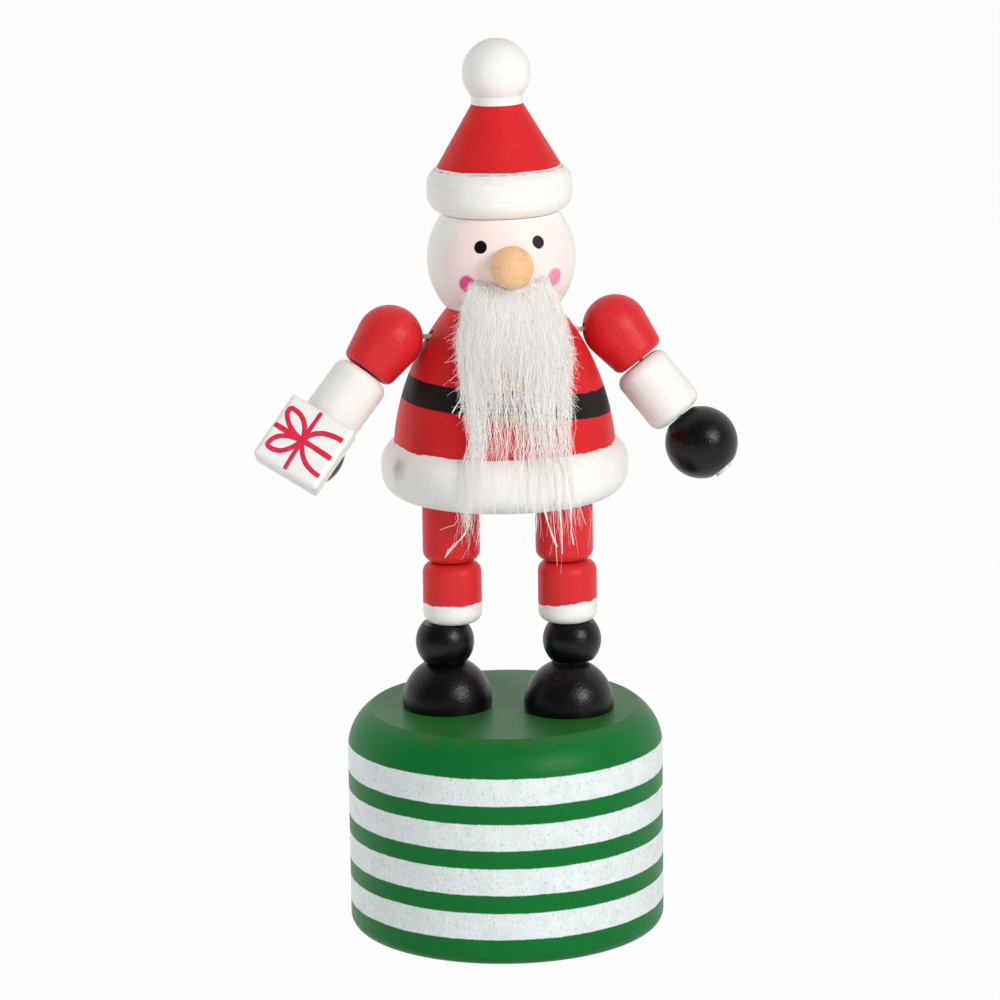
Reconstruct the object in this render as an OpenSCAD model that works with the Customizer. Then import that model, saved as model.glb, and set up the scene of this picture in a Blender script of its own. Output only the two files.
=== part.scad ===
// Push puppet: a strung wooden figure that stands on a drum with a spring button.
// Millimetres. +Z is up, the origin is at the middle of the drum's foot, the figure looks along -Y.
// Left and right are the viewer's, so the left side lies at -X.

/* [Base] */
// Diameter of the drum
base_d = 50; // [44:0.5:60]
// Height of the drum
base_h = 35.6; // [32:0.1:45]
// Radius of the round shoulder at the drum's top edge
base_shoulder_r = 7.8; // [7:0.1:10]
// Height of the shoulder, from the straight side to the flat top
base_shoulder_h = 6.6; // [4:0.1:7]
// Radius of the drum's foot edge
base_foot_r = 2; // [0.5:0.1:3]
// Wall around the hollow
base_wall = 5; // [3.5:0.1:6]
// Thickness of the drum's top above the hollow
base_roof = 8; // [5:0.1:10]

/* [Button and spring] */
// Thickness of the push button
button_t = 8; // [6:0.1:9]
// How far the button sits inside the foot
button_recess = 1; // [0.5:0.1:2]
// Gap around the button
button_gap = 0.6; // [0.3:0.05:1]
// Diameter of the stub that centres the spring
spigot_d = 10.2; // [8:0.1:11]
// Height of that stub
spigot_h = 3; // [2:0.1:4]
// Wire diameter of the spring
spring_wire_d = 1; // [0.6:0.05:1.2]
// Number of coils
spring_coils = 6; // [4:1:7]

/* [Cords] */
// Diameter of the leg cords
leg_cord_d = 1.2; // [0.8:0.05:1.4]
// Diameter of the elastic arm cord
arm_cord_d = 1.2; // [0.8:0.05:1.4]
// Diameter of the bores that the cords run in
bore_d = 3; // [2.6:0.05:3.2]
// Diameter of the knots under the button
knot_d = 3.8; // [3:0.1:4.4]
// Diameter of the knot in the head
crown_knot_d = 6.4; // [5:0.1:6.6]

/* [Legs] */
// Gap between the strung beads
bead_gap = 0.15; // [0.1:0.05:0.4]
// How far the legs stand in front of the middle
leg_forward = 1.2; // [0:0.1:2]
// Diameter of the shoe's ball
shoe_d = 14.2; // [12:0.1:15]
// Height of the shoe
shoe_h = 7.5; // [6.5:0.1:7.6]
// Height of the shoe ball's middle above the drum
shoe_rise = 0.9; // [0.8:0.1:2]
// Diameter of the ankle ball
ankle_d = 9.25; // [8.5:0.05:10.5]
// Height of the ankle between its flats
ankle_h = 6.1; // [5:0.1:7]
// Diameter of the shin
shin_d = 9.3; // [8.5:0.1:10.5]
// Height of the shin
shin_h = 9.75; // [8:0.05:12]
// Radius of the shin's edges
shin_edge_r = 1.7; // [1:0.1:2]
// Diameter of the thigh
thigh_d = 9.05; // [8.5:0.05:10.5]
// Height of the thigh
thigh_h = 10.3; // [8:0.1:12]
// Radius of the thigh's edges
thigh_edge_r = 1.7; // [1:0.1:2]

/* [Torso] */
// Height of the torso
torso_h = 29.85; // [28:0.05:36]
// Diameter of the rolled hem
hem_d = 38.7; // [37:0.1:42]
// Edge radius of the hem's roll
hem_edge_r = 4; // [3.5:0.1:4.8]
// Straight part of the hem between its round edges
hem_straight = 1.25; // [1:0.05:3]
// Diameter of the coat at its widest
coat_d = 35; // [33:0.1:36]
// Diameter of the coat at its top
coat_top_d = 17; // [15:0.1:18]
// Turn of the shoulder line about the torso's axis, in degrees
torso_turn = 11; // [-20:0.5:20]

/* [Head and hat] */
// Gap between the torso and the head
neck_gap = 0.35; // [0.3:0.05:0.6]
// Diameter of the flat under the head
neck_d = 18; // [17:0.1:20]
// Diameter of the head's ball
head_d = 23.1; // [22:0.1:26]
// Diameter of the flat under the hat
crown_d = 18.1; // [17:0.1:20]
// Depth of the knot's pocket under the hat
crown_pocket_h = 5.8; // [5.2:0.1:7]
// Turn of the face about the torso's axis, in degrees
face_turn = 7; // [-10:0.5:10]
// Sideways tilt of the head, in degrees
head_tilt = 0.8; // [-1.8:0.1:1.8]
// Diameter of the nose ball
nose_d = 6.6; // [5:0.1:8]
// Depth of the nose's socket
nose_seat = 1.5; // [0.5:0.1:2]
// Height of the nose above the head's middle
nose_rise = 0.5; // [0:0.1:2]
// Diameter of the hat's brim
brim_d = 22.6; // [21:0.1:26]
// Height of the brim
brim_h = 7.5; // [6.5:0.1:9]
// Edge radius of the brim
brim_edge_r = 3; // [2:0.1:3.2]
// Diameter of the hat's cone at the brim
cone_d = 19.3; // [17:0.1:20]
// Diameter of the hat's cone at its top
cone_top_d = 8; // [6:0.1:9]
// Height of the cone
cone_h = 9.3; // [8:0.1:14]
// Diameter of the bobble
bobble_d = 10.6; // [9.5:0.1:13]
// Depth of the bobble's seat in the cone
bobble_seat = 0.5; // [0.3:0.05:1]

/* [Arms] */
// Height of the shoulders below the neck
shoulder_drop = 4.35; // [3:0.05:6]
// Gap between the shoulders and the coat
shoulder_gap = 0.24; // [0.2:0.02:0.6]
// Diameter of the upper arm's dome
upper_arm_d = 10.4; // [9:0.1:11]
// Length of the upper arm from its dome's middle to its flat end
upper_arm_l = 6.3; // [5.5:0.1:8]
// Diameter of the upper arm's flat end, over its round edge
elbow_d = 8.8; // [8:0.1:9.2]
// Radius of the upper arm's edge
elbow_edge_r = 1.2; // [0.8:0.1:1.6]
// Gap between the beads of an arm
arm_gap = 0.3; // [0.25:0.05:0.5]
// Diameter of the forearm
forearm_d = 9.1; // [8:0.1:9.5]
// Length of the forearm
forearm_l = 10.4; // [8:0.1:11]
// Radius of the forearm's edges
forearm_edge_r = 1.7; // [1:0.1:2]
// Diameter of the hand's ball
hand_d = 11.4; // [10.5:0.1:12.5]
// Distance of the hand's flats from its middle
hand_flat = 5.2; // [4.8:0.05:5.25]
// Distance of the left hand's upper flat from its middle
left_wrist_flat = 3.5; // [3.3:0.05:4]
// Diameter of the pegs that hold the cord's ends
plug_d = 2.96; // [2.4:0.02:3]
// Length of those pegs
plug_l = 4; // [3:0.1:4.5]
// How far the right hand's peg stands out of its hole
right_plug_proud = 0.55; // [0.1:0.05:0.8]
// Swing of the left arm to the front, in degrees
left_arm_lean = 18; // [0:1:30]
// Swing of the right arm to the front, in degrees
right_arm_lean = 10; // [0:1:30]

/* [Gift] */
// Width and height of the block
gift_w = 11.5; // [9:0.1:12]
// Thickness of the block
gift_t = 4; // [3:0.1:5]
// Radius of the block's edges
gift_edge_r = 0.9; // [0.4:0.1:1.2]
// Distance of the hand's glued flat from its middle
gift_flat = 5.4; // [5.3:0.02:5.45]
// Shift of the block from the hand's middle, towards the figure
gift_aside = 1.12; // [0:0.02:1.5]
// Shift of the block below the hand's middle
gift_down = 1.4; // [0:0.05:2]

/* [Beard] */
// Gap between the beard and what it hangs over
beard_gap = 0.5; // [0.3:0.05:0.8]
// Thickness of the beard
beard_t = 2.2; // [1.5:0.1:3]
// Length of the beard below the hem's underside
beard_drop = 2.6; // [0:0.1:6]

/* [Hidden] */
$fn = 64;

LEFT = -1;
RIGHT = 1;
past = 1;           // how far a cut runs past a face
seat_gap = 0.04;    // glued ball in its socket
stub_gap = 0.15;    // spring end to its seat
spring_side_gap = 0.4;

// Drum and button
base_r = base_d / 2;
hollow_r = base_r - base_wall;
hollow_z = base_h - base_roof;
button_r = hollow_r - button_gap;
button_z = button_recess + button_t;
knot_pocket_d = knot_d + 0.8;
knot_pocket_h = knot_d * 0.8;
knot_z = button_recess + knot_pocket_h;
spring_r = spigot_d / 2 + spring_side_gap + spring_wire_d / 2;
spring_low = button_z + stub_gap + spring_wire_d / 2;
spring_high = hollow_z - stub_gap - spring_wire_d / 2;
spring_pitch = (spring_high - spring_low) / spring_coils;

// Bead heights up each leg: shoe, ankle, shin, thigh, torso
leg_y = -leg_forward;
shoe_top = base_h + shoe_h;
ankle_z = shoe_top + bead_gap;
shin_z = ankle_z + ankle_h + bead_gap;
thigh_z = shin_z + shin_h + bead_gap;
torso_z = thigh_z + thigh_h + bead_gap;
neck_z = torso_z + torso_h;

// Where the beads sit across, because loosely strung beads aren't quite in line
left_leg_x = [-9.05, -9.28, -7.98, -8.02];
right_leg_x = [10.15, 10.77, 10.14, 9.72];
function leg_x(side) = side == LEFT ? left_leg_x : right_leg_x;
function shoe_y(side) = leg_y + (side == LEFT ? 0.6 : -2);
function shoe_exit(side) = [leg_x(side)[0] * 0.3 + leg_x(side)[1] * 0.7, shoe_y(side) * 0.3 + leg_y * 0.7, shoe_top];

// The torso's outline: a rolled hem, then one arc that is upright at the waist
torso_x = 0.55;
hem_r = hem_d / 2;
hem_low = hem_edge_r;
hem_high = hem_edge_r + hem_straight;
waist_z = hem_high;
coat_r = coat_d / 2;
coat_rise = torso_h - waist_z;
coat_taper = coat_r - coat_top_d / 2;
coat_arc_r = (coat_rise * coat_rise + coat_taper * coat_taper) / (2 * coat_taper);
coat_arc_x = coat_r - coat_arc_r;

// The head's ball rests on a flat
head_r = head_d / 2;
neck_r = neck_d / 2;
head_mid = sqrt(head_r * head_r - neck_r * neck_r);
crown_z = head_mid + sqrt(head_r * head_r - crown_d * crown_d / 4);
pocket_z = crown_z - crown_pocket_h;
pocket_r = crown_knot_d / 2 + 0.5;
nose_r = nose_d / 2;
nose_y = -(sqrt(head_r * head_r - nose_rise * nose_rise) - nose_seat + nose_r);
bobble_r = bobble_d / 2;
cone_z = crown_z + brim_h - brim_edge_r * 0.1;
cone_top_z = crown_z + brim_h + cone_h;
bobble_z = cone_top_z - bobble_seat + bobble_r;
bobble_neck_z = bobble_z - sqrt(bobble_r * bobble_r - cone_top_d * cone_top_d / 4);

// The cords come together in the neck and end in the crown knot
neck_cord_x = 2.6;
neck_cord_y = -4;
crown_cord_x = 0.9;
crown_cord_gap = leg_cord_d / 4;   // keeps a cord's slanted end off the knot

// Arms: out to the side, with small slips between the beads
shoulder_r = upper_arm_d / 2;
shoulder_z = torso_h - shoulder_drop;
shoulder_reach = coat_arc_r + shoulder_r + shoulder_gap;
shoulder_x = coat_arc_x + sqrt(shoulder_reach * shoulder_reach - (shoulder_z - waist_z) * (shoulder_z - waist_z));
hand_r = hand_d / 2;
function plug_proud(side) = side == LEFT ? 0.1 : right_plug_proud;
left_out = 36.1;
right_out = 38;
forearm_bend = 0.5;
left_forearm_slip = 0;
right_forearm_slip = 0.9;
left_hand_in = 2.5;
left_hand_lean = 9;
left_hand_spin = -10;
left_hand_aside = 0.08;
left_hand_forward = 0.68;
left_hand_slack = 0.69;
function arm_lean(side) = side == LEFT ? left_arm_lean : right_arm_lean;
function arm_out(side) = side == LEFT ? left_out : right_out;
function forearm_slip(side) = side == LEFT ? left_forearm_slip : right_forearm_slip;
function hand_slip(side) =
    side == LEFT ? [left_hand_aside, -left_hand_forward, -left_hand_slack] : [0, 0, 0];
function wrist_flat(side) = side == LEFT ? left_wrist_flat : hand_flat;
function hand_drop(side) = wrist_flat(side) + arm_gap;
shoulder_bore_d = arm_cord_d + 0.8;   // small, so that it hides behind the arm
bead_run = 2;      // straight run of the arm cord inside the end of a bead
corner_run = 1;    // and beside its corner in the shoulder

// Small vector helpers
function unit(v) = v / norm(v);
function turn_x(p, a) = [p[0], p[1] * cos(a) - p[2] * sin(a), p[1] * sin(a) + p[2] * cos(a)];
function turn_y(p, a) = [p[0] * cos(a) + p[2] * sin(a), p[1], p[2] * cos(a) - p[0] * sin(a)];
function turn_z(p, a) = [p[0] * cos(a) - p[1] * sin(a), p[0] * sin(a) + p[1] * cos(a), p[2]];

// Points of the torso's and the head's own frames, in the puppet's frame
function torso_point(p) = [torso_x, 0, torso_z] + turn_z(p, torso_turn);
function head_point(p) =
    [torso_x, 0, neck_z + neck_gap] + turn_z(turn_y(p, -head_tilt), face_turn);

// Points of an arm's frames, which look down the arm along -Z
function upper_arm_point(side, p) =
    torso_point([side * shoulder_x, 0, shoulder_z]
        + turn_z(turn_x(turn_y(p, -side * arm_out(side)), -arm_lean(side)), -torso_turn));
function forearm_point(side, p) =
    upper_arm_point(side, [-side * forearm_slip(side), 0, -upper_arm_l - arm_gap]
        + turn_y(p, -side * forearm_bend));
function hand_point(side, p) =
    forearm_point(side, [0, 0, -forearm_l - hand_drop(side)] + hand_slip(side)
        + (side == LEFT ? turn_x(turn_y(p, -left_hand_in), -left_hand_lean) : p));

module in_torso() {
    translate([torso_x, 0, torso_z]) rotate([0, 0, torso_turn]) children();
}
module in_front() {
    translate([torso_x, 0, torso_z]) rotate([0, 0, face_turn]) children();
}
module in_head() {
    translate([torso_x, 0, neck_z + neck_gap]) rotate([0, -head_tilt, face_turn]) children();
}
module in_upper_arm(side) {
    in_torso() translate([side * shoulder_x, 0, shoulder_z])
        rotate([-arm_lean(side), 0, -torso_turn]) rotate([0, -side * arm_out(side), 0]) children();
}
module in_forearm(side) {
    in_upper_arm(side) translate([-side * forearm_slip(side), 0, -upper_arm_l - arm_gap])
        rotate([0, -side * forearm_bend, 0]) children();
}
module in_hand(side) {
    in_forearm(side) translate([0, 0, -forearm_l - hand_drop(side)] + hand_slip(side))
        if (side == LEFT) rotate([-left_hand_lean, 0, 0]) rotate([0, -left_hand_in, 0]) children();
        else children();
}

// A straight round bore from one point to another, run a little past both
module bore(a, b, d = bore_d) {
    axis = unit(b - a);
    start = a - past * axis;
    translate(start) rotate([0, acos(axis[2]), atan2(axis[1], axis[0])])
        rotate([0, 0, 90]) cylinder(d = d, h = norm(b - a) + 2 * past);
}

// Half of a barrel's outline, from z = 0 up, with round edges
module barrel_outline(r, h, low_r, high_r) {
    polygon([[0, 0], [r - low_r, 0], [r - low_r, low_r], [r, low_r], [r, h - high_r],
        [r - high_r, h - high_r], [r - high_r, h], [0, h]]);
    translate([r - low_r, low_r]) circle(low_r);
    translate([r - high_r, h - high_r]) circle(high_r);
}
module barrel(d, h, low_r, high_r) {
    rotate_extrude() barrel_outline(d / 2, h, low_r, high_r);
}

// A ball between two flats, its middle at the given height above the lower flat
module flat_ball(d, mid, h) {
    intersection() {
        translate([0, 0, mid]) sphere(d = d);
        cylinder(d = d + past, h = h);
    }
}

// A round cord as one skin along its points
cord_sides = 8;
function cord_frame(path, i) =
    let (t = unit(path[min(i + 1, len(path) - 1)] - path[max(i - 1, 0)]), u = unit(cross([0, 1, 0], t)))
    [u, cross(t, u)];
module cord(path, d) {
    last = len(path) - 1;
    points = [for (i = [0:last]) let (f = cord_frame(path, i)) for (k = [0:cord_sides - 1])
        let (a = 360 * k / cord_sides) path[i] + d / 2 * (cos(a) * f[0] + sin(a) * f[1])];
    side_faces = [for (i = [0:last - 1]) for (k = [0:cord_sides - 1])
        let (n = (k + 1) % cord_sides, p = i * cord_sides, q = p + cord_sides)
        each [[p + k, q + k, q + n], [p + k, q + n, p + n]]];
    low_end = [for (k = [1:cord_sides - 2]) [0, k, k + 1]];
    high_end = [for (k = [1:cord_sides - 2]) [last * cord_sides, last * cord_sides + k + 1, last * cord_sides + k]];
    polyhedron(points, concat(side_faces, low_end, high_end));
}

// Drum, hollow from below
module base() {
    shoulder_z = base_h - base_shoulder_h;
    color("forestgreen") difference() {
        rotate_extrude() difference() {
            union() {
                polygon([[0, 0], [base_r - base_foot_r, 0], [base_r - base_foot_r, base_foot_r],
                    [base_r, base_foot_r], [base_r, shoulder_z], [0, shoulder_z]]);
                translate([base_r - base_foot_r, base_foot_r]) circle(base_foot_r);
                intersection() {
                    union() {
                        translate([base_r - base_shoulder_r, shoulder_z]) circle(base_shoulder_r);
                        translate([0, shoulder_z]) square([base_r - base_shoulder_r, base_shoulder_r]);
                    }
                    square([base_r, base_h]);
                }
            }
            translate([0, -past]) square([hollow_r, hollow_z + past]);
        }
        for (side = [LEFT, RIGHT])
            translate([leg_x(side)[0], shoe_y(side), hollow_z - past]) cylinder(d = bore_d, h = base_roof + 2 * past);
    }
}

// Disc that is pressed from below, with a stub for the spring and pockets for the knots
module button() {
    edge_r = 1;
    color("burlywood") difference() {
        union() {
            translate([0, 0, button_recess]) barrel(2 * button_r, button_t, edge_r, edge_r);
            translate([0, 0, button_z - past]) cylinder(d = spigot_d, h = spigot_h + past);
        }
        for (side = [LEFT, RIGHT]) translate([leg_x(side)[0], shoe_y(side), 0]) {
            cylinder(d = leg_cord_d + 0.8, h = button_z + past);
            cylinder(d = knot_pocket_d, h = knot_z);
        }
    }
}

// Compression spring, one wire wound between the button and the drum's top
spring_rings = 12;
spring_sides = 6;
spring_path = [for (i = [0:spring_coils * spring_rings]) let (a = 360 * i / spring_rings)
    [spring_r * cos(a), spring_r * sin(a), spring_low + spring_pitch * i / spring_rings]];
spring_gap = min([for (i = [0:len(spring_path) - 1]) for (j = [i + spring_rings - 2:1:len(spring_path) - 1])
    norm(spring_path[i] - spring_path[j])]) - spring_wire_d;
module spring() {
    echo(spring_gap = spring_gap);
    last = len(spring_path) - 1;
    points = [for (i = [0:last]) let (a = 360 * i / spring_rings) for (k = [0:spring_sides - 1])
        let (b = 360 * k / spring_sides, out = spring_wire_d / 2 * cos(b))
        spring_path[i] + [out * cos(a), out * sin(a), spring_wire_d / 2 * sin(b)]];
    side_faces = [for (i = [0:last - 1]) for (k = [0:spring_sides - 1])
        let (n = (k + 1) % spring_sides, p = i * spring_sides, q = p + spring_sides)
        each [[p + k, q + n, q + k], [p + k, p + n, q + n]]];
    low_end = [for (k = [1:spring_sides - 2]) [0, k + 1, k]];
    high_end = [for (k = [1:spring_sides - 2])
        [last * spring_sides, last * spring_sides + k, last * spring_sides + k + 1]];
    color("silver") polyhedron(points, concat(side_faces, low_end, high_end));
}

// The knots under the button
module cord_knots() {
    knot_h = knot_pocket_h - 0.3;
    color("ivory") for (side = [LEFT, RIGHT])
        translate([leg_x(side)[0], shoe_y(side), knot_z - knot_h]) flat_ball(knot_d, knot_h / 2, knot_h);
}

// A leg cord's points, from its knot up to the crown
function leg_cord_path(side) = let (x = leg_x(side), y = shoe_y(side)) [
    [x[0], y, knot_z],
    [x[0], y, base_h],
    shoe_exit(side),
    [shoe_exit(side)[0], shoe_exit(side)[1], ankle_z],
    [x[1], leg_y, ankle_z + ankle_h / 2],
    [(x[1] + x[2]) / 2, leg_y, shin_z],
    [x[2], leg_y, shin_z + shin_h / 2],
    [(x[2] + x[3]) / 2, leg_y, thigh_z],
    [x[3], leg_y, thigh_z + thigh_h / 2],
    [x[3], leg_y, torso_z],
    torso_point([side * neck_cord_x, neck_cord_y, torso_h]),
    head_point([side * neck_cord_x, neck_cord_y, 0]),
    head_point([side * crown_cord_x, 0, pocket_z + seat_gap - crown_cord_gap])];
module left_cord() {
    color("ivory") cord(leg_cord_path(LEFT), leg_cord_d);
}
module right_cord() {
    color("ivory") cord(leg_cord_path(RIGHT), leg_cord_d);
}

// Leg beads
module shoe(side) {
    foot = [leg_x(side)[0], shoe_y(side), base_h];
    color("black") difference() {
        translate(foot) flat_ball(shoe_d, shoe_rise, shoe_h);
        bore(foot, shoe_exit(side));
    }
}
module ankle(side) {
    color("black") translate([leg_x(side)[1], leg_y, ankle_z]) difference() {
        flat_ball(ankle_d, ankle_h / 2, ankle_h);
        translate([0, 0, -past]) cylinder(d = bore_d, h = ankle_h + 2 * past);
    }
}
module shin(side) {
    color("crimson") translate([leg_x(side)[2], leg_y, shin_z]) difference() {
        barrel(shin_d, shin_h, shin_edge_r, shin_edge_r);
        translate([0, 0, -past]) cylinder(d = bore_d, h = shin_h + 2 * past);
    }
}
module thigh(side) {
    color("crimson") translate([leg_x(side)[3], leg_y, thigh_z]) difference() {
        barrel(thigh_d, thigh_h, thigh_edge_r, thigh_edge_r);
        translate([0, 0, -past]) cylinder(d = bore_d, h = thigh_h + 2 * past);
    }
}
module left_shoe() { shoe(LEFT); }
module left_ankle() { ankle(LEFT); }
module left_shin() { shin(LEFT); }
module left_thigh() { thigh(LEFT); }
module right_shoe() { shoe(RIGHT); }
module right_ankle() { ankle(RIGHT); }
module right_shin() { shin(RIGHT); }
module right_thigh() { thigh(RIGHT); }

// Torso outline and, with a gap around it, the inside of what hangs over it
module hem_outline(gap = 0) {
    translate([hem_r - hem_edge_r, hem_low]) circle(hem_edge_r + gap);
    translate([hem_r - hem_edge_r, hem_high]) circle(hem_edge_r + gap);
    translate([0, hem_low]) square([hem_r + gap, hem_straight]);
    translate([0, -gap]) square([hem_r - hem_edge_r, hem_high + hem_edge_r + 2 * gap]);
}
module coat_outline(gap = 0) {
    intersection() {
        translate([coat_arc_x, waist_z]) circle(coat_arc_r + gap, $fn = 128);
        translate([0, hem_low]) square([hem_r, torso_h - hem_low]);
    }
}
module torso() {
    color("firebrick") difference() {
        in_torso() rotate_extrude() {
            hem_outline();
            coat_outline();
        }
        for (side = [LEFT, RIGHT])
            bore([leg_x(side)[3], leg_y, torso_z], torso_point([side * neck_cord_x, neck_cord_y, torso_h]));
        bore(torso_point([-hem_r, 0, shoulder_z]), torso_point([hem_r, 0, shoulder_z]), shoulder_bore_d);
    }
}

// Head, with its cord bores, the knot's pocket and the nose's socket
module head() {
    color("mistyrose") in_head() difference() {
        flat_ball(head_d, head_mid, crown_z);
        for (side = [LEFT, RIGHT])
            bore([side * neck_cord_x, neck_cord_y, 0], [side * crown_cord_x, 0, pocket_z]);
        translate([0, 0, pocket_z]) cylinder(r = pocket_r, h = crown_pocket_h + past);
        translate([0, nose_y, head_mid + nose_rise]) sphere(r = nose_r + seat_gap);
    }
}
module crown_knot() {
    knot_mid = crown_knot_d * 0.4;
    color("ivory") in_head() translate([0, 0, pocket_z + seat_gap])
        flat_ball(crown_knot_d, knot_mid, crown_pocket_h - 2 * seat_gap);
}
module nose() {
    color("tan") in_head() translate([0, nose_y, head_mid + nose_rise]) sphere(r = nose_r);
}

// Hat: brim and cone turned in one, with a dished top for the bobble, whose neck covers it
module hat() {
    color("red") in_head() difference() {
        rotate_extrude() {
            translate([0, crown_z]) barrel_outline(brim_d / 2, brim_h, brim_edge_r, brim_edge_r);
            polygon([[0, crown_z + brim_edge_r], [cone_d / 2, crown_z + brim_edge_r], [cone_d / 2, cone_z],
                [cone_top_d / 2, cone_top_z], [0, cone_top_z]]);
        }
        translate([0, 0, bobble_z]) sphere(r = bobble_r + seat_gap);
    }
}
module bobble() {
    color("white") in_head() {
        translate([0, 0, bobble_z]) sphere(r = bobble_r);
        translate([0, 0, cone_top_z + seat_gap])
            cylinder(d = cone_top_d, h = bobble_neck_z - cone_top_z + bobble_seat);
    }
}

// Beard: a tuft that hangs from under the nose over the coat's front and past the hem
beard_top = head_mid + nose_rise - nose_r - beard_gap;
beard_half_w = 8.6;
beard_root_half_w = 5.6;
beard_locks = [-8.2, -6.2, -3.4, -0.4, 2.6, 5.4, 8.4];
beard_lock_drop = [0.6, 3.2, 0, -1.6, -0.4, 2.8, 1];
beard_lock_room = 4;   // height below the beard's mean end that the longest lock needs
module beard_band_outline(gap) {
    over_neck = torso_h + neck_gap + beard_top;
    hem_outline(gap);
    coat_outline(gap);
    translate([0, -beard_drop - beard_lock_room]) square([hem_r + gap, beard_drop + beard_lock_room + hem_low]);
    translate([0, hem_high]) square([head_r + gap, over_neck - hem_high]);
}
module beard_front() {
    top = torso_h + neck_gap + beard_top;
    notch = 2.4;
    last = len(beard_locks) - 1;
    tips = [for (i = [0:last]) each [
        [beard_locks[i], -beard_drop - beard_lock_drop[i]],
        if (i < last) [(beard_locks[i] + beard_locks[i + 1]) / 2, notch - beard_drop]]];
    polygon(concat(tips, [[beard_half_w, hem_high], [beard_half_w - 0.8, torso_h - 2],
        [beard_root_half_w, top], [-beard_root_half_w, top], [0.8 - beard_half_w, torso_h - 2],
        [-beard_half_w, hem_high]]));
}
module beard() {
    reach = hem_r + beard_gap + beard_t + past;
    color("white") in_front() intersection() {
        rotate_extrude() difference() {
            beard_band_outline(beard_gap + beard_t);
            beard_band_outline(beard_gap);
        }
        rotate([90, 0, 0]) linear_extrude(reach) beard_front();
    }
}

// Upper arm: a dome, then sides that run tangent into the round edge of the flat end
module upper_arm_outline() {
    edge = [elbow_d / 2 - elbow_edge_r, elbow_edge_r - upper_arm_l];
    slope = atan2(-edge[1], edge[0]) - acos((shoulder_r - elbow_edge_r) / norm(edge));
    edge_steps = 6;
    dome_steps = 18;
    round_edge = [for (i = [0:edge_steps]) let (a = -90 + (90 - slope) * i / edge_steps)
        edge + elbow_edge_r * [cos(a), sin(a)]];
    dome = [for (i = [0:dome_steps]) let (a = -slope + (90 + slope) * i / dome_steps)
        shoulder_r * [cos(a), sin(a)]];
    polygon(concat([[0, -upper_arm_l]], round_edge, dome));
}
module upper_arm(side) {
    color("crimson") difference() {
        in_upper_arm(side) rotate_extrude() upper_arm_outline();
        bore(upper_arm_point(side, [0, 0, 0]), upper_arm_point(side, [0, 0, -upper_arm_l]));
        bore(torso_point([side * shoulder_x, 0, shoulder_z]),
            torso_point([side * (shoulder_x - shoulder_r), 0, shoulder_z]), shoulder_bore_d);
    }
}
module forearm(side) {
    color("white") in_forearm(side) translate([0, 0, -forearm_l]) difference() {
        barrel(forearm_d, forearm_l, forearm_edge_r, forearm_edge_r);
        translate([0, 0, -past]) cylinder(d = bore_d, h = forearm_l + 2 * past);
    }
}
module hand(side) {
    hand_h = hand_flat + wrist_flat(side);
    color("black") in_hand(side) difference() {
        translate([0, 0, -hand_flat]) flat_ball(hand_d, hand_flat, hand_h);
        translate([0, 0, -hand_flat - past]) cylinder(d = bore_d, h = hand_h + 2 * past);
        if (side == LEFT) rotate([0, 0, left_hand_spin])
            translate([-hand_r, -hand_r - past, -hand_r]) cube([hand_d, hand_r + past - gift_flat, hand_d]);
    }
}
module plug(side) {
    color("white") in_hand(side) translate([0, 0, -hand_flat - plug_proud(side)])
        cylinder(d = plug_d, h = plug_l + plug_proud(side));
}
module left_upper_arm() { upper_arm(LEFT); }
module left_forearm() { forearm(LEFT); }
module left_hand() { hand(LEFT); }
module left_plug() { plug(LEFT); }
module right_upper_arm() { upper_arm(RIGHT); }
module right_forearm() { forearm(RIGHT); }
module right_hand() { hand(RIGHT); }
module right_plug() { plug(RIGHT); }

// Elastic cord from hand to hand, through the arms and across the torso
function arm_cord_half(side) = [
    hand_point(side, [0, 0, plug_l - hand_flat]),
    hand_point(side, [0, 0, wrist_flat(side) - bead_run]),
    forearm_point(side, [0, 0, bead_run - forearm_l]),
    forearm_point(side, [0, 0, -corner_run]),
    upper_arm_point(side, [0, 0, corner_run - upper_arm_l]),
    upper_arm_point(side, [0, 0, -corner_run]),
    torso_point([side * (shoulder_x - corner_run), 0, shoulder_z]),
    torso_point([side * (shoulder_x - shoulder_r), 0, shoulder_z])];
module arm_cord() {
    left_half = arm_cord_half(LEFT);
    right_half = arm_cord_half(RIGHT);
    back = [for (i = [len(right_half) - 1:-1:0]) right_half[i]];
    color("ivory") cord(concat(left_half, back), arm_cord_d);
}

// Gift: a block with round edges, glued to the front of the left hand
module rounded_square(w, h, r) {
    for (x = [r, w - r]) for (y = [r, h - r]) translate([x, y]) circle(r);
    translate([r, 0]) square([w - 2 * r, h]);
    translate([0, r]) square([w, h - 2 * r]);
}
module gift_block() {
    color("white") in_hand(LEFT) rotate([0, 0, left_hand_spin])
        translate([gift_aside - gift_w / 2, -gift_flat - gift_t, -gift_down - gift_w / 2]) intersection() {
            linear_extrude(gift_w) rounded_square(gift_w, gift_t, gift_edge_r);
            translate([0, gift_t, 0]) rotate([90, 0, 0]) linear_extrude(gift_t)
                rounded_square(gift_w, gift_w, gift_edge_r);
            rotate([90, 0, 90]) linear_extrude(gift_w) rounded_square(gift_t, gift_w, gift_edge_r);
        }
}

base();
button();
spring();
cord_knots();
left_cord();
right_cord();
left_shoe();
left_ankle();
left_shin();
left_thigh();
right_shoe();
right_ankle();
right_shin();
right_thigh();
torso();
head();
hat();
bobble();
nose();
beard();
crown_knot();
left_upper_arm();
left_forearm();
left_hand();
left_plug();
gift_block();
right_upper_arm();
right_forearm();
right_hand();
right_plug();
arm_cord();
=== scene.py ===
import math
import random

import bpy
from mathutils import Matrix, Vector, noise


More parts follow.
